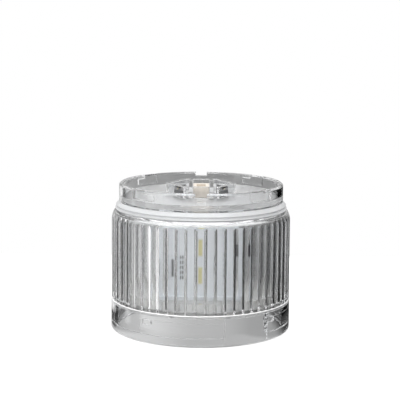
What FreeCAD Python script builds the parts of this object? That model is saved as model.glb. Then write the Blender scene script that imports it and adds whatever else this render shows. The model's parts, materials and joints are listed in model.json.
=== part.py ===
import FreeCAD, Part
import math
import os

from FreeCAD import Vector

# One clear tier of a modular stack light, 60 mm class. Millimetres, +Z up.
# The origin is the centre of the skirt's bottom rim, and the front faces -Y.
# Angles about the axis are measured from the front towards +X.

# Clear globe: skirt, fluted lens, shoulder and collar in one moulding
lens_radius = 30.0
tier_height = 40.0
skirt_height = 10.2
skirt_edge_bevel = 0.4
flute_count = 60
flute_edge_width = 0.9
flute_edge_angle = 65.0
flute_edge_facets = 2
flute_ledge = 0.12
flute_taper = 0.1
flute_cap = 0.2
flute_top_margin = 2.4
shoulder_round = 1.8
shoulder_facets = 2
shoulder_wall = 1.9

# Collar that carries the next tier
collar_step = 2.7
collar_wall = 1.8
collar_height = 8.8
collar_edge_bevel = 0.5
gasket_groove_depth = 0.7
gasket_groove_height = 2.8
neck_wall = 1.7
deck_depth = 3.9
deck_thickness = 1.6

# Twist lock: L slots outside the collar, lugs inside the skirt
lock_count = 4
lock_slot_angle = 42.5
lock_slot_width = 6.1
lock_slot_depth = 0.9
lock_slot_drop = 3.2
lock_travel = 7.5
lug_width = 3.0
lug_height = 1.6
lug_clearance = 0.2
lug_floor_clearance = 0.2
lip_wall = 1.4
lip_depth = 2.6
lip_step = 0.8
guide_clearance = 0.2
key_gap_start = 15.5
key_gap_angle = 32.0
key_channel_depth = 0.4

# Marks and small cut-outs on the collar and the skirt
rim_notch_width = 3.8
rim_notch_depth = 1.3
gate_flat_width = 2.5
gate_flat_height = 2.0
gate_flat_depth = 0.25
gate_flat_rise = 1.5
stop_notch_angle = 8.5
stop_notch_width = 3.0
stop_notch_height = 1.9
stop_notch_depth = 0.5

# Hexagonal connector turret in the middle of the deck
turret_across = 23.4
turret_wall = 1.3
turret_drop = 0.2
bay_width = 5.6
bay_partition = 1.3

# Gasket with two sealing lips
gasket_clearance = 0.05
gasket_lower_reach = 1.35
gasket_upper_reach = 1.05
gasket_valley_reach = 0.7

# Base plate that closes the lamp chamber
stack_clearance = 0.6
plate_thickness = 1.6
plate_clearance = 0.15
plate_seat = 0.45
plate_rib_count = 8
plate_rib_height = 1.1
plate_rib_width = 1.2
plate_rib_inner = 13.5
plate_rib_outer = 24.0
plate_tooth_count = 45
plate_tooth_width = 1.9
plate_tooth_depth = 1.2
plate_tooth_height = 2.7
key_post_width = 2.4
key_post_length = 5.0
key_post_clearance = 0.3

# Circuit boards: a box of four upright boards between two flat ones
end_board_thickness = 1.2
end_board_margin = 1.2
top_board_drop = 0.5
tower_width = 26.0
tower_depth = 17.6
led_board_thickness = 1.0
tab_width = 4.0
tab_clearance = 0.1
tab_spacing = 8.0

# Light-emitting diodes
led_width = 2.5
led_height = 6.1
led_thickness = 1.0
led_rim = 0.4
led_window_depth = 0.7
led_window_draft = 0.15
led_fill_drop = 0.06
led_count = 2
led_first = 7.1
led_pitch = 9.3
led_offset = 0.2

# Small parts soldered on the boards
resistor_width = 0.55
resistor_height = 1.1
resistor_thickness = 0.4
resistor_rows = 5
resistor_columns = 2
resistor_row_pitch = 1.7
resistor_column_pitch = 1.1
resistor_offset = 6.8
resistor_first = 5.7
rectifier_width = 1.0
rectifier_height = 5.6
rectifier_thickness = 0.9
rectifier_offset = 10.2
rectifier_first = 6.7
surge_width = 3.6
surge_height = 3.8
surge_thickness = 2.1
surge_edge = 1.8
surge_first = 13.0

# Connectors: sprung strips in the turret, blades below the base plate
strip_inner = 5.2
strip_width = 3.0
strip_clearance = 0.2
strip_drop = 1.6
slot_width = 1.4
contact_count = 5
contact_pitch = 1.5
contact_width = 0.9
contact_thickness = 0.25
contact_bow = 0.45
contact_bow_drop = 0.3
contact_tip_drop = 0.5
blade_width = 0.9
blade_thickness = 0.5
blade_reach = 4.8
blade_tail = 0.7
blade_clearance = 0.1
blade_tip = 0.3
core_length = 9.0
core_drop = 0.8
core_clearance = 0.2
core_pocket_depth = 2.8
core_pocket_clearance = 0.3

# Heights and radii that follow from the sizes above
top_z = tier_height + collar_height
collar_radius = lens_radius - collar_step
collar_inner = collar_radius - collar_wall
groove_root = collar_radius - gasket_groove_depth
groove_top_z = tier_height + gasket_groove_height
neck_inner = groove_root - neck_wall
flute_top_z = tier_height - flute_top_margin
flute_radius = lens_radius - flute_ledge
flute_top_radius = flute_radius - flute_taper
shoulder_radius = flute_top_radius - flute_cap
deck_z = top_z - deck_depth
deck_under_z = deck_z - deck_thickness
turret_top_z = top_z - turret_drop
lip_radius = lens_radius - lip_wall
socket_radius = lip_radius - lip_step
guide_radius = collar_radius + guide_clearance
chamber_radius = guide_radius - plate_seat
slot_root = collar_radius - lock_slot_depth
lug_radius = slot_root + lug_clearance
slot_floor_z = top_z - lock_slot_drop
lug_z = slot_floor_z - tier_height + lug_floor_clearance
lug_top_z = lug_z + lug_height
slot_roof_z = tier_height + lug_top_z + lug_floor_clearance
plate_z = collar_height + stack_clearance
plate_top_z = plate_z + plate_thickness
plate_ring_z = plate_z - stack_clearance / 2
plate_radius = guide_radius - plate_clearance
plate_tooth_reach = chamber_radius - plate_clearance
base_board_top_z = plate_top_z + end_board_thickness
top_board_top_z = tier_height - top_board_drop
top_board_z = top_board_top_z - end_board_thickness
turret_radius = turret_across / 2
bay_radius = turret_radius - turret_wall / math.cos(math.radians(30))
strip_top_z = turret_top_z - strip_drop
core_top_z = turret_top_z - core_drop
slot_x = strip_inner + strip_width / 2

# Solids that overlap before a fuse or run through before a cut do so by this much
overrun = 1.0
wall_bite = 0.3


def rounded(before, corner, after, radius, facets):
    """Points along a corner's round, which is made of flat facets; one facet is a bevel."""
    back = (before - corner).normalize()
    ahead = (after - corner).normalize()
    half = back.getAngle(ahead) / 2
    centre = corner + (back + ahead).normalize() * (radius / math.sin(half))
    first = corner + back * (radius / math.tan(half)) - centre
    last = corner + ahead * (radius / math.tan(half)) - centre
    sweep = math.pi - 2 * half
    points = []
    for step in range(facets + 1):
        share = sweep * step / facets
        spoke = first * math.sin(sweep - share) + last * math.sin(share)
        points.append(centre + spoke * (1 / math.sin(sweep)))
    return points


def outline(points, rounds=None):
    """Closed wire in the XZ plane; rounds gives a corner's radius and facets by its index."""
    corners = [Vector(x, 0, z) for x, z in points]
    path = []
    for index, corner in enumerate(corners):
        if rounds and index in rounds:
            after = corners[(index + 1) % len(corners)]
            path += rounded(corners[index - 1], corner, after, *rounds[index])
        else:
            path.append(corner)
    return Part.makePolygon(path + path[:1])


def turned(points, rounds=None):
    """Solid of revolution about Z from a profile of (radius, height) points."""
    face = Part.Face(outline(points, rounds))
    return face.revolve(Vector(0, 0, 0), Vector(0, 0, 1), 360)


def sector(inner, outer, low, high, start, end):
    """Block between two radii and two heights, over an angle about the axis."""
    face = Part.Face(outline([(inner, low), (outer, low), (outer, high), (inner, high)]))
    face.rotate(Vector(0, 0, 0), Vector(0, 0, 1), start - 90)
    return face.revolve(Vector(0, 0, 0), Vector(0, 0, 1), end - start)


def block(x0, x1, y0, y1, z0, z1):
    return Part.makeBox(x1 - x0, y1 - y0, z1 - z0, Vector(x0, y0, z0))


def prism(points, low, high):
    """Upright solid on a closed outline of (x, y) points."""
    wire = Part.makePolygon([Vector(x, y, low) for x, y in points + points[:1]])
    return Part.Face(wire).extrude(Vector(0, 0, high - low))


def turn(shape, angle):
    """Copy of a shape turned about the axis, from the front towards +X."""
    copy = shape.copy()
    copy.rotate(Vector(0, 0, 0), Vector(0, 0, 1), angle)
    return copy


def width_angle(width, radius):
    return math.degrees(width / radius)


def hexagon(radius):
    """Corners of a hexagon with two of them on the X axis."""
    turns = [math.radians(60 * step) for step in range(6)]
    return [(radius * math.cos(a), radius * math.sin(a)) for a in turns]


def flute_outline(radius, height):
    """Flat flutes whose long edges fall away in a faceted round to the groove between each pair."""
    pitch = 360.0 / flute_count
    bend = flute_edge_width / math.sin(math.radians(flute_edge_angle))
    edge = []
    for step in range(flute_edge_facets + 1):
        lean = math.radians(flute_edge_angle * step / flute_edge_facets)
        across = flute_edge_width - bend * math.sin(lean)
        edge.append((width_angle(across, lens_radius), radius - bend * (1 - math.cos(lean))))
    section = [(-offset, reach) for offset, reach in edge] + edge[-2::-1]
    points = []
    for step in range(flute_count):
        for offset, reach in section:
            angle = math.radians((step + 0.5) * pitch + offset)
            points.append(Vector(reach * math.sin(angle), -reach * math.cos(angle), height))
    return Part.makePolygon(points + points[:1])


def fluted_lens():
    """Flutes that lean in a little towards the top and end there in a bevel."""
    foot = flute_outline(flute_radius, skirt_height)
    head = flute_outline(flute_top_radius, flute_top_z - flute_cap)
    cap = flute_outline(shoulder_radius, flute_top_z)
    return Part.makeLoft([foot, head, cap], True, True)


def globe_outside():
    skirt = turned([(0, 0), (lens_radius, 0), (lens_radius, skirt_height), (0, skirt_height)],
                   {1: (skirt_edge_bevel, 1), 2: (flute_ledge, 1)})
    head = turned([(0, flute_top_z), (shoulder_radius, flute_top_z), (shoulder_radius, tier_height),
                   (groove_root, tier_height), (groove_root, groove_top_z),
                   (collar_radius, groove_top_z), (collar_radius, top_z), (0, top_z)],
                  {2: (shoulder_round, shoulder_facets), 6: (collar_edge_bevel, 1)})
    return skirt.fuse([fluted_lens(), head])


def globe_inside():
    roof_z = tier_height - shoulder_wall
    return turned([(0, -overrun), (lip_radius, -overrun), (lip_radius, lip_depth),
                   (socket_radius, lip_depth), (socket_radius, plate_ring_z),
                   (guide_radius, plate_ring_z), (guide_radius, plate_top_z),
                   (chamber_radius, plate_top_z), (chamber_radius, roof_z),
                   (neck_inner, roof_z), (neck_inner, deck_under_z), (0, deck_under_z)])


def collar_cup():
    return turned([(0, deck_z), (collar_inner, deck_z), (collar_inner, top_z - collar_edge_bevel),
                   (collar_inner + collar_edge_bevel, top_z),
                   (collar_inner + collar_edge_bevel, top_z + overrun), (0, top_z + overrun)])


def lock_turns():
    """Angle of each lock about the axis, counted from the first."""
    return [step * 360.0 / lock_count for step in range(lock_count)]


def slot_half_angle():
    return width_angle(lock_slot_width, collar_radius) / 2


def skirt_locks():
    """Guide pads on the skirt's inner wall, each with the lug that locks below a slot's roof."""
    pad_start = key_gap_start + key_gap_angle
    pad_end = key_gap_start + 360.0 / lock_count
    lug_half = width_angle(lug_width, lug_radius) / 2
    lug_angle = lock_slot_angle + slot_half_angle() + lock_travel / 2
    pad = sector(guide_radius, socket_radius + wall_bite, lip_depth, lug_top_z, pad_start, pad_end)
    lug = sector(lug_radius, guide_radius + wall_bite, lug_z, lug_top_z,
                 lug_angle - lug_half, lug_angle + lug_half)
    return [turn(piece, angle) for angle in lock_turns() for piece in (pad, lug)]


def collar_slots():
    """L slots, open at the rim, that run on under it for the lock's travel."""
    half = slot_half_angle()
    outer = collar_radius + overrun
    entry = sector(slot_root, outer, slot_floor_z, top_z + overrun,
                   lock_slot_angle - half, lock_slot_angle + half)
    channel = sector(slot_root, outer, slot_floor_z, slot_roof_z,
                     lock_slot_angle + half - wall_bite, lock_slot_angle + half + lock_travel)
    return [turn(piece, angle) for angle in lock_turns() for piece in (entry, channel)]


def collar_marks():
    cuts = []
    notch_half = rim_notch_width / 2
    notch_reach = collar_radius + overrun
    notch = block(-notch_half, notch_half, -notch_reach, -collar_inner + overrun,
                  top_z - rim_notch_depth, top_z + overrun)
    cuts += [notch, turn(notch, 180)]
    flat_z = groove_top_z + gate_flat_rise
    cuts.append(block(-gate_flat_width / 2, gate_flat_width / 2, -notch_reach,
                      -collar_radius + gate_flat_depth, flat_z, flat_z + gate_flat_height))
    stop_half = width_angle(stop_notch_width, collar_radius) / 2
    cuts.append(sector(collar_radius - stop_notch_depth, notch_reach, groove_top_z - overrun,
                       groove_top_z + stop_notch_height,
                       stop_notch_angle - stop_half, stop_notch_angle + stop_half))
    return cuts


def key_channel():
    return sector(lip_radius - overrun, lip_radius + key_channel_depth, -overrun, plate_ring_z,
                  key_gap_start, key_gap_start + key_gap_angle)


def turret_bays():
    """Three bays in the turret: one each side for the strips, one for the core."""
    room = prism(hexagon(bay_radius), top_board_top_z - overrun, turret_top_z + overrun)
    inner = bay_width / 2
    walls = []
    for side in (-1, 1):
        near, far = sorted((side * inner, side * (inner + bay_partition)))
        walls.append(block(near, far, -turret_radius, turret_radius,
                           top_board_top_z - 2 * overrun, turret_top_z + 2 * overrun))
    return room.cut(walls)


def make_globe():
    body = globe_outside().cut([globe_inside(), collar_cup()])
    turret = prism(hexagon(turret_radius), top_board_top_z, turret_top_z)
    body = body.fuse(skirt_locks() + [turret])
    body = body.cut([turret_bays(), key_channel()] + collar_slots() + collar_marks())
    return body.removeSplitter()


def make_gasket():
    """Ring in the collar's groove: two lips outside, the upper one sloping up to the collar."""
    inner = groove_root + gasket_clearance
    lower = collar_radius + gasket_lower_reach
    upper = collar_radius + gasket_upper_reach
    valley = collar_radius + gasket_valley_reach
    top = groove_top_z - gasket_clearance
    step = gasket_groove_height / 5
    return turned([(inner, tier_height), (valley, tier_height), (lower, tier_height + step),
                   (valley, tier_height + 2 * step), (upper, tier_height + 3 * step),
                   (collar_radius, top), (inner, top)])


def contact_places():
    half = (contact_count - 1) / 2
    return [(index - half) * contact_pitch for index in range(contact_count)]


def blade_holes(low, high):
    """Openings for both rows of blades, with clearance all round."""
    cuts = []
    half_x = blade_thickness / 2 + blade_clearance
    half_y = blade_width / 2 + blade_clearance
    for side in (-1, 1):
        for y in contact_places():
            x = side * slot_x
            cuts.append(block(x - half_x, x + half_x, y - half_y, y + half_y, low, high))
    return cuts


def make_base_plate():
    """Plate with a ring of teeth inside the lens, and ribs and a key post below."""
    plate = Part.makeCylinder(plate_radius, plate_thickness, Vector(0, 0, plate_z))
    reach = math.sqrt(plate_tooth_reach ** 2 - plate_tooth_width ** 2 / 4)
    tooth = block(-plate_tooth_width / 2, plate_tooth_width / 2, -reach, -reach + plate_tooth_depth,
                  plate_top_z - wall_bite, plate_top_z + plate_tooth_height)
    teeth = [turn(tooth, step * 360.0 / plate_tooth_count) for step in range(plate_tooth_count)]
    rib = block(-plate_rib_width / 2, plate_rib_width / 2, -plate_rib_outer, -plate_rib_inner,
                plate_z - plate_rib_height, plate_z)
    ribs = [turn(rib, (step + 0.5) * 360.0 / plate_rib_count) for step in range(plate_rib_count)]
    post_z = core_top_z - tier_height - core_pocket_depth + key_post_clearance
    post = block(-key_post_width / 2, key_post_width / 2, -key_post_length / 2, key_post_length / 2,
                 post_z, plate_z)
    plate = plate.fuse(teeth + ribs + [post])
    return plate.cut(blade_holes(plate_z - overrun, plate_top_z + overrun)).removeSplitter()


def tab_holes(low, high):
    """Openings for the upright boards' tabs."""
    cuts = []
    half = tab_width / 2 + tab_clearance
    skin = led_board_thickness + 2 * tab_clearance
    for reach, angles in ((tower_depth / 2, (0, 180)), (tower_width / 2, (90, 270))):
        for angle in angles:
            for place in (-tab_spacing / 2, tab_spacing / 2):
                hole = block(place - half, place + half, -reach - tab_clearance,
                             -reach - tab_clearance + skin, low, high)
                cuts.append(turn(hole, angle))
    return cuts


def end_board(low, high):
    """Flat board, a margin larger all round than the box of upright boards."""
    half_x = tower_width / 2 + end_board_margin
    half_y = tower_depth / 2 + end_board_margin
    board = block(-half_x, half_x, -half_y, half_y, low, high)
    return board.cut(tab_holes(low - overrun, high + overrun))


def make_base_board():
    board = end_board(plate_top_z, base_board_top_z)
    return board.cut(blade_holes(plate_top_z - overrun, base_board_top_z + overrun))


def led_board(width, reach, angle):
    """Upright board with tabs that stand in the two flat boards, flush with them."""
    board = block(-width / 2, width / 2, -reach, -reach + led_board_thickness,
                  base_board_top_z, top_board_z)
    tabs = []
    for place in (-tab_spacing / 2, tab_spacing / 2):
        tabs.append(block(place - tab_width / 2, place + tab_width / 2, -reach,
                          -reach + led_board_thickness, plate_top_z, top_board_top_z))
    return turn(board.fuse(tabs).removeSplitter(), angle)


def led_window(depth_from, depth_to, reach, height):
    """Tapered space of the emitting window, between two depths under the face."""
    faces = []
    for depth in (depth_from, depth_to):
        inset = led_rim + led_window_draft * depth / led_window_depth
        half_x = led_width / 2 - inset
        half_z = led_height / 2 - inset
        y = -reach - led_thickness + depth
        corners = [(-half_x, -half_z), (half_x, -half_z), (half_x, half_z), (-half_x, half_z)]
        points = [Vector(led_offset + x, y, height + z) for x, z in corners]
        faces.append(Part.makePolygon(points + points[:1]))
    return Part.makeLoft(faces, True, True)


def led_housing(reach, height, angle):
    body = block(led_offset - led_width / 2, led_offset + led_width / 2, -reach - led_thickness, -reach,
                 height - led_height / 2, height + led_height / 2)
    return turn(body.cut(led_window(0, led_window_depth, reach, height)), angle)


def led_fill(reach, height, angle):
    return turn(led_window(led_fill_drop, led_window_depth, reach, height), angle)


def make_resistors():
    """Two columns of chip resistors on the front board, as one group."""
    chips = []
    for column in range(resistor_columns):
        x = -resistor_offset + (column - (resistor_columns - 1) / 2) * resistor_column_pitch
        for row in range(resistor_rows):
            z = base_board_top_z + resistor_first + row * resistor_row_pitch
            y = -tower_depth / 2
            chips.append(block(x - resistor_width / 2, x + resistor_width / 2,
                               y - resistor_thickness, y, z, z + resistor_height))
    return Part.makeCompound(chips)


def make_rectifier():
    z = base_board_top_z + rectifier_first
    y = -tower_depth / 2
    return block(-rectifier_offset - rectifier_width / 2, -rectifier_offset + rectifier_width / 2,
                 y - rectifier_thickness, y, z, z + rectifier_height)


def make_surge_diode():
    z = base_board_top_z + surge_first
    x = tower_width / 2
    y = -tower_depth / 2 + surge_edge
    return block(x, x + surge_thickness, y, y + surge_width, z, z + surge_height)


def make_strip(side):
    """Insulating strip that fills the corner of a side bay round one long slot."""
    reach = bay_radius - strip_clearance / math.cos(math.radians(30))
    slope = math.tan(math.radians(60))
    near = strip_inner
    far = strip_inner + strip_width
    near_half = slope * (reach - near)
    far_half = slope * (reach - far)
    body = prism([(near, -near_half), (far, -far_half), (far, far_half), (near, near_half)],
                 top_board_top_z, strip_top_z)
    slot_half = contact_count * contact_pitch / 2
    slot = block(slot_x - slot_width / 2, slot_x + slot_width / 2, -slot_half, slot_half,
                 top_board_top_z - overrun, strip_top_z + overrun)
    strip = body.cut(slot)
    return strip if side > 0 else turn(strip, 180)


def make_contact(side, place):
    """Leaf that stands on the top board along the slot's wall and bows into the slot."""
    wall = slot_x + slot_width / 2
    tip = strip_top_z - contact_tip_drop
    bow_z = tip - contact_bow_drop
    knee_z = bow_z - contact_bow_drop
    line = [(wall, top_board_top_z), (wall, knee_z), (wall - contact_bow, bow_z), (wall, tip)]
    shifted = [(x - contact_thickness, z) for x, z in reversed(line)]
    face = Part.Face(outline(line + shifted))
    leaf = face.extrude(Vector(0, contact_width, 0))
    leaf.translate(Vector(0, place - contact_width / 2, 0))
    return leaf if side > 0 else turn(leaf, 180)


def make_blade(side, place):
    """Flat blade from the base board down into the next tier's strip."""
    low = plate_z - blade_reach
    high = base_board_top_z + blade_tail
    half = blade_thickness / 2
    tip = half - blade_tip / 2
    face = Part.Face(outline([(-tip, low), (tip, low), (half, low + blade_tip), (half, high),
                              (-half, high), (-half, low + blade_tip)]))
    blade = face.extrude(Vector(0, blade_width, 0))
    blade.translate(Vector(side * slot_x, place - blade_width / 2, 0))
    return blade


def make_core():
    """Keyed block in the middle bay, with a pocket for the next tier's key post."""
    half_x = bay_width / 2 - core_clearance
    body = block(-half_x, half_x, -core_length / 2, core_length / 2, top_board_top_z, core_top_z)
    pocket_x = key_post_width / 2 + core_pocket_clearance
    pocket_y = key_post_length / 2 + core_pocket_clearance
    return body.cut(block(-pocket_x, pocket_x, -pocket_y, pocket_y,
                          core_top_z - core_pocket_depth, core_top_z + overrun))


def board_sides():
    """Name, board width, distance of the outer face and angle of each upright board."""
    inner_width = tower_width - 2 * led_board_thickness
    return [("front", inner_width, tower_depth / 2, 0),
            ("right", tower_depth, tower_width / 2, 90),
            ("rear", inner_width, tower_depth / 2, 180),
            ("left", tower_depth, tower_width / 2, 270)]


def all_parts():
    parts = {
        "globe": make_globe(),
        "gasket": make_gasket(),
        "base_plate": make_base_plate(),
        "base_board": make_base_board(),
        "top_board": end_board(top_board_z, top_board_top_z),
        "socket_core": make_core(),
        "chip_resistors": make_resistors(),
        "rectifier": make_rectifier(),
        "surge_diode": make_surge_diode(),
    }
    for name, width, reach, angle in board_sides():
        parts[name + "_led_board"] = led_board(width, reach, angle)
        for index in range(led_count):
            height = base_board_top_z + led_first + index * led_pitch
            parts[f"{name}_led_housing_{index + 1}"] = led_housing(reach, height, angle)
            parts[f"{name}_led_fill_{index + 1}"] = led_fill(reach, height, angle)
    for name, side in (("left", -1), ("right", 1)):
        parts[name + "_contact_strip"] = make_strip(side)
        for index, place in enumerate(contact_places()):
            parts[f"{name}_contact_{index + 1}"] = make_contact(side, place)
            parts[f"{name}_blade_{index + 1}"] = make_blade(side, place)
    return parts


def main():
    os.makedirs("parts", exist_ok=True)
    for name, shape in all_parts().items():
        shape.exportStep(f"parts/{name}.step")


main()
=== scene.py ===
import json
import math

import bpy
from mathutils import Euler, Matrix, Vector

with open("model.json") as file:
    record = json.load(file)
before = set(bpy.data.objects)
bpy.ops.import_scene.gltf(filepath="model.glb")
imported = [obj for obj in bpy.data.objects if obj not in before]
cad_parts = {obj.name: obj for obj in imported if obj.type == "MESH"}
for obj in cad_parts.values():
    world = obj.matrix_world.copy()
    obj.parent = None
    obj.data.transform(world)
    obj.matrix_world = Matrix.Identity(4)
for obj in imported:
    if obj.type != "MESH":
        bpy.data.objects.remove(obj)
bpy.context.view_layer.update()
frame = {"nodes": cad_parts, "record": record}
nodes = frame["nodes"]
scene = bpy.context.scene

# Camera: the photograph's view, in metres and degrees, with the focal length in pixels of the frame
CAMERA_DISTANCE = 0.4268
CAMERA_HEIGHT = 0.1091
CAMERA_SIDE = -0.00036
CAMERA_PITCH = 8.83
CAMERA_ROLL = 0.45
CAMERA_CLIP_START = 0.01
FOCAL_PIXELS = 1292.0
FRAME_PIXELS = 400.0
SENSOR_WIDTH = 36.0

# Studio: linear grey levels round the object by bearing, in degrees to the right of straight behind it
TABLE_LEVELS = (
    (-180, 1.3), (-122, 1.4), (-99, 1.4), (-95, 0.3), (-90, 0.05), (-77, 0.05), (-73, 1.1), (-69, 1.1),
    (-66, 0.03), (-34, 0.03), (-29, 1.0), (-17, 1.0), (-12, 0.32), (4, 0.22), (12, 0.2), (16, 0.0),
    (112, 0.0), (126, 0.4), (142, 0.9), (180, 1.3),
)
WALL_LEVELS = (
    (-180, 0.2), (-110, 0.6), (-60, 0.95), (-25, 0.65), (15, 0.55), (40, 0.46), (110, 0.38), (180, 0.2),
)
CEILING_LEVEL = 1.5
WHITE_LEVEL = 1.0

# The table fades to the wall, and the wall to the ceiling, between these heights on a ray of length one
WALL_FOOT = (-0.15, -0.08)
WALL_HEAD = (0.15, 0.35)

# Floor: a square just under the object, in metres, with a glow of its own for the camera
FLOOR_SIZE = 0.24
FLOOR_DROP = 0.0002
FLOOR_SHADES = ((0.5, 0.5, 0.5), (0.485, 0.485, 0.485))
FLOOR_LIFT = 0.6

# Floor close to the object as the clear plastic shows it, in metres and grey levels: a painted shadow under
# the object, lighter to the left, painted dark bands of shade beside it, and painted light in front and
# behind
UNDER_RADIUS = 0.0305
UNDER_LEFT_PAINTED_SHADE = 0.58
UNDER_RIGHT_PAINTED_SHADE = 0.4
UNDER_FADE = (-0.018, -0.001)
NEAR_RADIUS = 0.044
NEAR_FRONT_PAINTED_LIGHT = 1.0
NEAR_BACK_PAINTED_LIGHT = 0.5
NEAR_SIDE_PAINTED_SHADE = 0.05
NEAR_SIDE_FADE = (0.026, 0.0315)
NEAR_MIDDLE = -0.002

# Lamps, all aimed at one point: size and place in metres, power in watts
LAMP_TARGET = (0, 0, 0.03)
LAMPS = {
    "key_softbox": {"size": (0.5, 0.5), "power": 1.7, "place": (-0.4, -0.5, 0.35)},
    "front_fill": {"size": (0.6, 0.4), "power": 1.4, "place": (0.1, -0.8, 0.3)},
    "top_strip": {"size": (0.35, 0.08), "power": 0.45, "place": (0, -0.05, 0.5)},
}

# Bounces of light, many of them for the walls of the clear moulding
TOTAL_BOUNCES = 24
TRANSMISSION_BOUNCES = 24
GLOSSY_BOUNCES = 12
DIFFUSE_BOUNCES = 6

# Two close shades of each material, between which a noise runs
SHADES = {
    "clear_polycarbonate": ((0.985, 0.99, 0.995), (0.97, 0.978, 0.985)),
    # Painted highlight: the white laid over the edges of the clear moulding
    "painted_edge_highlight": ((0.95, 0.95, 0.95), (0.9, 0.9, 0.9)),
    "milky_silicone": ((0.78, 0.79, 0.8), (0.72, 0.73, 0.74)),
    "natural_plastic": ((0.94, 0.935, 0.92), (0.91, 0.905, 0.89)),
    "beige_plastic": ((0.64, 0.58, 0.5), (0.58, 0.52, 0.45)),
    "black_plastic": ((0.012, 0.012, 0.014), (0.02, 0.02, 0.022)),
    "white_board": ((0.84, 0.87, 0.9), (0.8, 0.83, 0.87)),
    "led_housing": ((0.8, 0.8, 0.78), (0.74, 0.74, 0.72)),
    "led_phosphor": ((0.72, 0.66, 0.28), (0.66, 0.6, 0.23)),
    "plated_brass": ((0.8, 0.72, 0.5), (0.72, 0.63, 0.42)),
    "chip_black": ((0.02, 0.02, 0.022), (0.035, 0.035, 0.038)),
}

# Middle roughness of the grained materials
ROUGHNESS = {
    "milky_silicone": 0.35,
    "natural_plastic": 0.12,
    "beige_plastic": 0.45,
    "black_plastic": 0.55,
    "white_board": 0.35,
    "led_housing": 0.4,
    "led_phosphor": 0.3,
    "plated_brass": 0.3,
    "chip_black": 0.45,
}

# Noise over the object: scales in patches to the metre, bump depths in metres, gloss from its middle range
NOISE_DETAIL = 3.0
NOISE_MIDDLE = (0.3, 0.7)
CLOUD_SCALE = 160.0
GLOSS_SPREAD = 0.06
GRAIN_SCALE = 900.0
GRAIN_STRENGTH = 0.15
GRAIN_DEPTH = 0.0001
NATURAL_GRAIN = 0.05
FLOW_SCALE = 60.0
FLOW_STRENGTH = 0.02
FLOW_DEPTH = 0.0002
FLOOR_CLOUD_SCALE = 4.0

# Light through the clear and milky materials
POLYCARBONATE_IOR = 1.58
NATURAL_CLARITY = 0.8
SILICONE_IOR = 1.41
SILICONE_CLARITY = 0.45

# Zones of the clear moulding, each as a radius, a low end and a high end in metres
DECK = (0.0254, 0.0432, 0.0450)
LENS_INSIDE = (0.0275, 0.0108, 0.0379)
LENS_OUTSIDE = (0.0285, 0.0104, 0.0381)
# Band at the top of the skirt where a painted white highlight runs
LEDGE = (0.0290, 0.01, 0.0103)

# Skin of the clear moulding: polish all over, frost on the deck and satin inside the lens, as roughness
POLISH = (0.0, 0.03)
DECK_FROST = 0.35
LENS_SATIN = 0.1

# Flutes of the lens: the slow curve of each face and the steep walls of the groove between two, in degrees
FLUTE_COUNT = 60
FLUTE_LEAN = 19.0
GROOVE_LEAN = 66.0
GROOVE_SHARE = 0.16

# Edges of the clear moulding, in metres: rounded, with a painted white highlight where face and round agree
# too little, and a painted white highlight along the ledge at the top of the skirt
EDGE_ROUND = 0.00035
EDGE_ROUND_SAMPLES = 8
EDGE_RADIUS = 0.0002
EDGE_SAMPLES = 6
EDGE_AGREE = (0.8, 0.95)
EDGE_PAINTED_HIGHLIGHT = 0.85
LEDGE_PAINTED_HIGHLIGHT = 0.75


def new_material(name):
    material = bpy.data.materials.new(name)
    material.use_nodes = True
    return material, material.node_tree


def set_or_link(tree, value, socket):
    """A number is set on the socket, and an output is linked to it."""
    if isinstance(value, (int, float)):
        socket.default_value = value
    else:
        tree.links.new(value, socket)


def calculated(tree, operation, first, second=0.0):
    """Maths node on one or two values, each an output or a number."""
    node = tree.nodes.new("ShaderNodeMath")
    node.operation = operation
    set_or_link(tree, first, node.inputs[0])
    set_or_link(tree, second, node.inputs[1])
    return node.outputs["Value"]


def blended(tree, factor, first, second):
    """Value that runs from a first to a second with a factor, each of the two an output or a number."""
    node = tree.nodes.new("ShaderNodeMix")
    tree.links.new(factor, node.inputs["Factor"])
    set_or_link(tree, first, node.inputs["A"])
    set_or_link(tree, second, node.inputs["B"])
    return node.outputs["Result"]


def stepped(tree, value, ends, levels=(0.0, 1.0), curve="SMOOTHSTEP"):
    """Runs from one level to another while the value runs between two ends."""
    node = tree.nodes.new("ShaderNodeMapRange")
    node.interpolation_type = curve
    node.inputs["From Min"].default_value, node.inputs["From Max"].default_value = ends
    node.inputs["To Min"].default_value, node.inputs["To Max"].default_value = levels
    tree.links.new(value, node.inputs["Value"])
    return node.outputs["Result"]


def mixed_shader(tree, factor, first, second):
    mix = tree.nodes.new("ShaderNodeMixShader")
    tree.links.new(factor, mix.inputs["Fac"])
    tree.links.new(first, mix.inputs[1])
    tree.links.new(second, mix.inputs[2])
    return mix.outputs["Shader"]


def axes_of(tree, space):
    """X, Y and Z of a shaded point in one of the spaces of the texture coordinate."""
    place = tree.nodes.new("ShaderNodeTexCoord")
    axes = tree.nodes.new("ShaderNodeSeparateXYZ")
    tree.links.new(place.outputs[space], axes.inputs["Vector"])
    return axes.outputs["X"], axes.outputs["Y"], axes.outputs["Z"]


def squared_reach(tree, x, y):
    """Square of the distance from the object's axis."""
    across = calculated(tree, "MULTIPLY", x, x)
    along = calculated(tree, "MULTIPLY", y, y)
    return calculated(tree, "ADD", across, along)


def zone_mask(tree, zone, comparison):
    """One between the ends of a zone, inside or outside its radius as the comparison says, else nought."""
    radius, low, high = zone
    x, y, z = axes_of(tree, "Object")
    in_reach = calculated(tree, comparison, squared_reach(tree, x, y), radius ** 2)
    above = calculated(tree, "GREATER_THAN", z, low)
    below = calculated(tree, "LESS_THAN", z, high)
    level = calculated(tree, "MULTIPLY", above, below)
    return calculated(tree, "MULTIPLY", level, in_reach)


def object_noise(tree, scale):
    place = tree.nodes.new("ShaderNodeTexCoord")
    noise = tree.nodes.new("ShaderNodeTexNoise")
    noise.inputs["Scale"].default_value = scale
    noise.inputs["Detail"].default_value = NOISE_DETAIL
    tree.links.new(place.outputs["Object"], noise.inputs["Vector"])
    return noise.outputs["Fac"]


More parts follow.
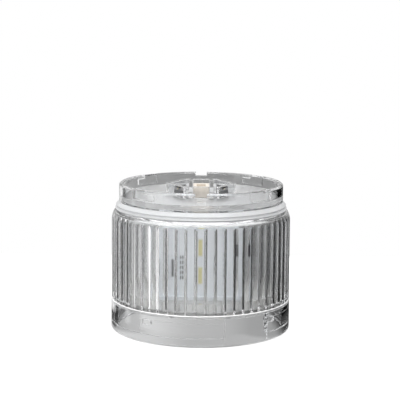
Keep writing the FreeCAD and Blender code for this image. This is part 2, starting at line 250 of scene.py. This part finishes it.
def tinted(tree, noise, shades):
    """Colour that runs between two shades with a noise."""
    mix = tree.nodes.new("ShaderNodeMix")
    mix.data_type = "RGBA"
    mix.inputs["A"].default_value = (*shades[0], 1)
    mix.inputs["B"].default_value = (*shades[1], 1)
    tree.links.new(noise, mix.inputs["Factor"])
    return mix.outputs["Result"]


def grain_bump(tree, noise, strength, depth):
    bump = tree.nodes.new("ShaderNodeBump")
    bump.inputs["Strength"].default_value = strength
    bump.inputs["Distance"].default_value = depth
    tree.links.new(noise, bump.inputs["Height"])
    return bump


def grained_material(name, grain=GRAIN_STRENGTH):
    """Two close shades, uneven gloss and a fine surface grain."""
    material, tree = new_material(name)
    shader = tree.nodes["Principled BSDF"]
    cloud = object_noise(tree, CLOUD_SCALE)
    fine = object_noise(tree, GRAIN_SCALE)
    gloss = (ROUGHNESS[name] - GLOSS_SPREAD, ROUGHNESS[name] + GLOSS_SPREAD)
    bump = grain_bump(tree, fine, grain, GRAIN_DEPTH)
    tree.links.new(tinted(tree, cloud, SHADES[name]), shader.inputs["Base Color"])
    tree.links.new(stepped(tree, cloud, NOISE_MIDDLE, gloss, "LINEAR"), shader.inputs["Roughness"])
    tree.links.new(bump.outputs["Normal"], shader.inputs["Normal"])
    return material


def plated_brass():
    material = grained_material("plated_brass")
    material.node_tree.nodes["Principled BSDF"].inputs["Metallic"].default_value = 1.0
    return material


def natural_plastic():
    """Clear plastic with a faint warm cast and a satin skin."""
    material = grained_material("natural_plastic", NATURAL_GRAIN)
    shader = material.node_tree.nodes["Principled BSDF"]
    shader.inputs["Transmission Weight"].default_value = NATURAL_CLARITY
    shader.inputs["IOR"].default_value = POLYCARBONATE_IOR
    return material


def milky_silicone():
    """Cloudy silicone that lets some of the light through."""
    material = grained_material("milky_silicone")
    shader = material.node_tree.nodes["Principled BSDF"]
    shader.inputs["Transmission Weight"].default_value = SILICONE_CLARITY
    shader.inputs["IOR"].default_value = SILICONE_IOR
    return material


def bevel_normal(tree, radius, samples):
    """Normal of the mesh with its edges rounded off."""
    bevel = tree.nodes.new("ShaderNodeBevel")
    bevel.samples = samples
    bevel.inputs["Radius"].default_value = radius
    return bevel.outputs["Normal"]


def painted_highlight_mask(tree, fluted):
    """Where the painted white highlight goes: high along the sharp edges of the mesh, nought on its faces
    and on the fluted lens.
    """
    face = tree.nodes.new("ShaderNodeNewGeometry")
    agree = tree.nodes.new("ShaderNodeVectorMath")
    agree.operation = "DOT_PRODUCT"
    tree.links.new(bevel_normal(tree, EDGE_RADIUS, EDGE_SAMPLES), agree.inputs[0])
    tree.links.new(face.outputs["Normal"], agree.inputs[1])
    sharp = stepped(tree, agree.outputs["Value"], EDGE_AGREE, (EDGE_PAINTED_HIGHLIGHT, 0.0))
    plain = calculated(tree, "SUBTRACT", 1.0, fluted)
    return calculated(tree, "MULTIPLY", sharp, plain)


def flute_bearing(tree):
    """Bearing of the normal of a gently curved flute with a steep narrow groove on each side."""
    pitch = 2 * math.pi / FLUTE_COUNT
    x, y, _ = axes_of(tree, "Object")
    bearing = calculated(tree, "ARCTAN2", x, calculated(tree, "MULTIPLY", y, -1.0))
    turns = calculated(tree, "DIVIDE", bearing, pitch)
    offset = calculated(tree, "SUBTRACT", turns, calculated(tree, "ROUND", turns))
    away = calculated(tree, "ABSOLUTE", offset)
    in_groove = calculated(tree, "GREATER_THAN", away, 0.5 - GROOVE_SHARE)
    steep = calculated(tree, "MULTIPLY", in_groove, math.radians(GROOVE_LEAN - FLUTE_LEAN))
    steep = calculated(tree, "MULTIPLY", steep, calculated(tree, "SIGN", offset))
    gentle = calculated(tree, "MULTIPLY", offset, 2 * math.radians(FLUTE_LEAN))
    return calculated(tree, "ADD", bearing, calculated(tree, "ADD", gentle, steep))


def flute_normal(tree):
    """Level normal along the flute's bearing, turned round where a ray meets the face from within."""
    bearing = flute_bearing(tree)
    level = tree.nodes.new("ShaderNodeCombineXYZ")
    tree.links.new(calculated(tree, "SINE", bearing), level.inputs["X"])
    ahead = calculated(tree, "MULTIPLY", calculated(tree, "COSINE", bearing), -1.0)
    tree.links.new(ahead, level.inputs["Y"])
    in_world = tree.nodes.new("ShaderNodeVectorTransform")
    in_world.vector_type = "NORMAL"
    in_world.convert_from = "OBJECT"
    in_world.convert_to = "WORLD"
    tree.links.new(level.outputs["Vector"], in_world.inputs["Vector"])
    face = tree.nodes.new("ShaderNodeNewGeometry")
    doubled = calculated(tree, "MULTIPLY", face.outputs["Backfacing"], 2.0)
    facing = tree.nodes.new("ShaderNodeVectorMath")
    facing.operation = "SCALE"
    tree.links.new(in_world.outputs["Vector"], facing.inputs["Vector"])
    tree.links.new(calculated(tree, "SUBTRACT", 1.0, doubled), facing.inputs["Scale"])
    return facing.outputs["Vector"]


def moulded_normal(tree, fluted):
    """Rounded edges all over, and curved flutes on the outside of the lens."""
    mix = tree.nodes.new("ShaderNodeMix")
    mix.data_type = "VECTOR"
    tree.links.new(fluted, mix.inputs["Factor"])
    tree.links.new(bevel_normal(tree, EDGE_ROUND, EDGE_ROUND_SAMPLES), mix.inputs["A"])
    tree.links.new(flute_normal(tree), mix.inputs["B"])
    return mix.outputs["Result"]


def moulded_roughness(tree, cloud):
    """Polish that varies a little, with frost on the deck and satin inside the lens."""
    polish = stepped(tree, cloud, NOISE_MIDDLE, POLISH, "LINEAR")
    frost = calculated(tree, "MULTIPLY", zone_mask(tree, DECK, "LESS_THAN"), DECK_FROST)
    satin = calculated(tree, "MULTIPLY", zone_mask(tree, LENS_INSIDE, "LESS_THAN"), LENS_SATIN)
    return calculated(tree, "ADD", polish, calculated(tree, "ADD", frost, satin))


def clear_polycarbonate():
    """Polished clear moulding with a faint waviness and fine flutes, with a painted white highlight on its
    edges and along the skirt's ledge.
    """
    material, tree = new_material("clear_polycarbonate")
    cloud = object_noise(tree, FLOW_SCALE)
    fluted = zone_mask(tree, LENS_OUTSIDE, "GREATER_THAN")
    flow = grain_bump(tree, cloud, FLOW_STRENGTH, FLOW_DEPTH)
    tree.links.new(moulded_normal(tree, fluted), flow.inputs["Normal"])
    shader = tree.nodes["Principled BSDF"]
    shader.inputs["Transmission Weight"].default_value = 1.0
    shader.inputs["IOR"].default_value = POLYCARBONATE_IOR
    tree.links.new(tinted(tree, cloud, SHADES["clear_polycarbonate"]), shader.inputs["Base Color"])
    tree.links.new(moulded_roughness(tree, cloud), shader.inputs["Roughness"])
    tree.links.new(flow.outputs["Normal"], shader.inputs["Normal"])
    # Painted highlight: a white diffuse mixed over the clear plastic along its sharp edges and along the
    # ledge
    edge = tree.nodes.new("ShaderNodeBsdfDiffuse")
    tree.links.new(tinted(tree, cloud, SHADES["painted_edge_highlight"]), edge.inputs["Color"])
    ledge = calculated(tree, "MULTIPLY", zone_mask(tree, LEDGE, "GREATER_THAN"), LEDGE_PAINTED_HIGHLIGHT)
    white = calculated(tree, "MAXIMUM", painted_highlight_mask(tree, fluted), ledge)
    whole = mixed_shader(tree, white, shader.outputs["BSDF"], edge.outputs["BSDF"])
    tree.links.new(whole, tree.nodes["Material Output"].inputs["Surface"])
    return material


def make_materials():
    """Material of each slot in the record."""
    return {
        "clear_plastic": clear_polycarbonate(),
        "white_silicone": milky_silicone(),
        "natural_plastic": natural_plastic(),
        "beige_plastic": grained_material("beige_plastic"),
        "black_plastic": grained_material("black_plastic"),
        "white_board": grained_material("white_board"),
        "led_housing": grained_material("led_housing"),
        "led_phosphor": grained_material("led_phosphor"),
        "plated_brass": plated_brass(),
        "chip_black": grained_material("chip_black"),
    }


def dress_nodes(materials):
    """Each CAD node takes the material of its slot in the record."""
    for part in frame["record"]["subparts"]:
        mesh = nodes[part["node"]].data
        mesh.materials.clear()
        mesh.materials.append(materials[part["material_slot"]])


def add_camera():
    data = bpy.data.cameras.new("camera")
    data.sensor_width = SENSOR_WIDTH
    data.lens = SENSOR_WIDTH * FOCAL_PIXELS / FRAME_PIXELS
    data.clip_start = CAMERA_CLIP_START
    camera = bpy.data.objects.new("camera", data)
    camera.location = (CAMERA_SIDE, -CAMERA_DISTANCE, CAMERA_HEIGHT)
    tilt = Euler((math.radians(90 - CAMERA_PITCH), 0, 0)).to_matrix()
    roll = Euler((0, 0, math.radians(CAMERA_ROLL))).to_matrix()
    camera.rotation_euler = (tilt @ roll).to_euler()
    scene.collection.objects.link(camera)
    scene.camera = camera


def bearing_ramp(tree, bearing, levels):
    """Grey by bearing, from a list of degrees and levels."""
    ramp = tree.nodes.new("ShaderNodeValToRGB")
    stops = ramp.color_ramp.elements
    while len(stops) < len(levels):
        stops.new(0.5)
    for stop, (degrees, grey) in zip(stops, levels):
        stop.position = (degrees + 180) / 360
        stop.color = (grey, grey, grey, 1)
    tree.links.new(bearing, ramp.inputs["Fac"])
    return ramp.outputs["Color"]


def add_world():
    """White behind the object for the camera; for all else a studio with table, walls and bright ceiling."""
    world = bpy.data.worlds.new("studio")
    world.use_nodes = True
    scene.world = world
    tree = world.node_tree
    x, y, z = axes_of(tree, "Generated")
    angle = calculated(tree, "ARCTAN2", x, y)
    bearing = stepped(tree, angle, (-math.pi, math.pi), curve="LINEAR")
    table = bearing_ramp(tree, bearing, TABLE_LEVELS)
    wall = bearing_ramp(tree, bearing, WALL_LEVELS)
    level = blended(tree, stepped(tree, z, WALL_FOOT), table, wall)
    level = blended(tree, stepped(tree, z, WALL_HEAD), level, CEILING_LEVEL)
    path = tree.nodes.new("ShaderNodeLightPath")
    shown = blended(tree, path.outputs["Is Camera Ray"], level, WHITE_LEVEL)
    tree.links.new(shown, tree.nodes["Background"].inputs["Color"])


def near_floor(tree):
    """Floor as the clear plastic shows it: glowing greys close to the object, a painted shadow under it,
    painted dark bands of shade at its sides and painted light in front and behind, see-through to the studio
    beyond.
    """
    x, y, _ = axes_of(tree, "Object")
    reach = squared_reach(tree, x, y)
    behind = calculated(tree, "GREATER_THAN", y, 0.0)
    around_light = blended(tree, behind, NEAR_FRONT_PAINTED_LIGHT, NEAR_BACK_PAINTED_LIGHT)
    under = calculated(tree, "LESS_THAN", reach, UNDER_RADIUS ** 2)
    under_shade = blended(tree, stepped(tree, x, UNDER_FADE), UNDER_LEFT_PAINTED_SHADE, UNDER_RIGHT_PAINTED_SHADE)
    level = blended(tree, under, around_light, under_shade)
    aside = calculated(tree, "ABSOLUTE", calculated(tree, "SUBTRACT", x, NEAR_MIDDLE))
    level = blended(tree, stepped(tree, aside, NEAR_SIDE_FADE), level, NEAR_SIDE_PAINTED_SHADE)
    # The greys glow: painted shade and painted light, not light from the lamps
    grey = tree.nodes.new("ShaderNodeEmission")
    tree.links.new(level, grey.inputs["Strength"])
    clear = tree.nodes.new("ShaderNodeBsdfTransparent")
    near = calculated(tree, "LESS_THAN", reach, NEAR_RADIUS ** 2)
    return mixed_shader(tree, near, clear.outputs["BSDF"], grey.outputs["Emission"])


def pale_floor():
    """Pale floor, white to the camera with the object's shadow kept."""
    material, tree = new_material("pale_floor")
    tree.nodes.remove(tree.nodes["Principled BSDF"])
    cloud = object_noise(tree, FLOOR_CLOUD_SCALE)
    diffuse = tree.nodes.new("ShaderNodeBsdfDiffuse")
    tree.links.new(tinted(tree, cloud, FLOOR_SHADES), diffuse.inputs["Color"])
    path = tree.nodes.new("ShaderNodeLightPath")
    glow = tree.nodes.new("ShaderNodeEmission")
    lift = calculated(tree, "MULTIPLY", path.outputs["Is Camera Ray"], FLOOR_LIFT)
    tree.links.new(lift, glow.inputs["Strength"])
    plain = tree.nodes.new("ShaderNodeAddShader")
    tree.links.new(diffuse.outputs["BSDF"], plain.inputs[0])
    tree.links.new(glow.outputs["Emission"], plain.inputs[1])
    # Glossy and transmission rays see the near floor's painted shade and painted light instead
    through = calculated(tree, "MAXIMUM", path.outputs["Is Transmission Ray"], path.outputs["Is Glossy Ray"])
    whole = mixed_shader(tree, through, plain.outputs["Shader"], near_floor(tree))
    tree.links.new(whole, tree.nodes["Material Output"].inputs["Surface"])
    return material


def add_floor():
    half = FLOOR_SIZE / 2
    corners = [(-half, -half, 0), (half, -half, 0), (half, half, 0), (-half, half, 0)]
    mesh = bpy.data.meshes.new("floor")
    mesh.from_pydata(corners, [], [(0, 1, 2, 3)])
    floor = bpy.data.objects.new("floor", mesh)
    floor.location = (0, 0, -FLOOR_DROP)
    scene.collection.objects.link(floor)
    mesh.materials.append(pale_floor())


def add_lamp(name, size, power, place):
    data = bpy.data.lights.new(name, "AREA")
    data.shape = "RECTANGLE"
    data.size, data.size_y = size
    data.energy = power
    lamp = bpy.data.objects.new(name, data)
    lamp.location = place
    lamp.rotation_euler = (Vector(LAMP_TARGET) - Vector(place)).to_track_quat("-Z", "Y").to_euler()
    scene.collection.objects.link(lamp)


def set_render():
    scene.view_settings.view_transform = "Standard"
    scene.cycles.max_bounces = TOTAL_BOUNCES
    scene.cycles.transmission_bounces = TRANSMISSION_BOUNCES
    scene.cycles.glossy_bounces = GLOSSY_BOUNCES
    scene.cycles.diffuse_bounces = DIFFUSE_BOUNCES


dress_nodes(make_materials())
add_camera()
add_world()
add_floor()
for name, lamp in LAMPS.items():
    add_lamp(name, **lamp)
set_render()
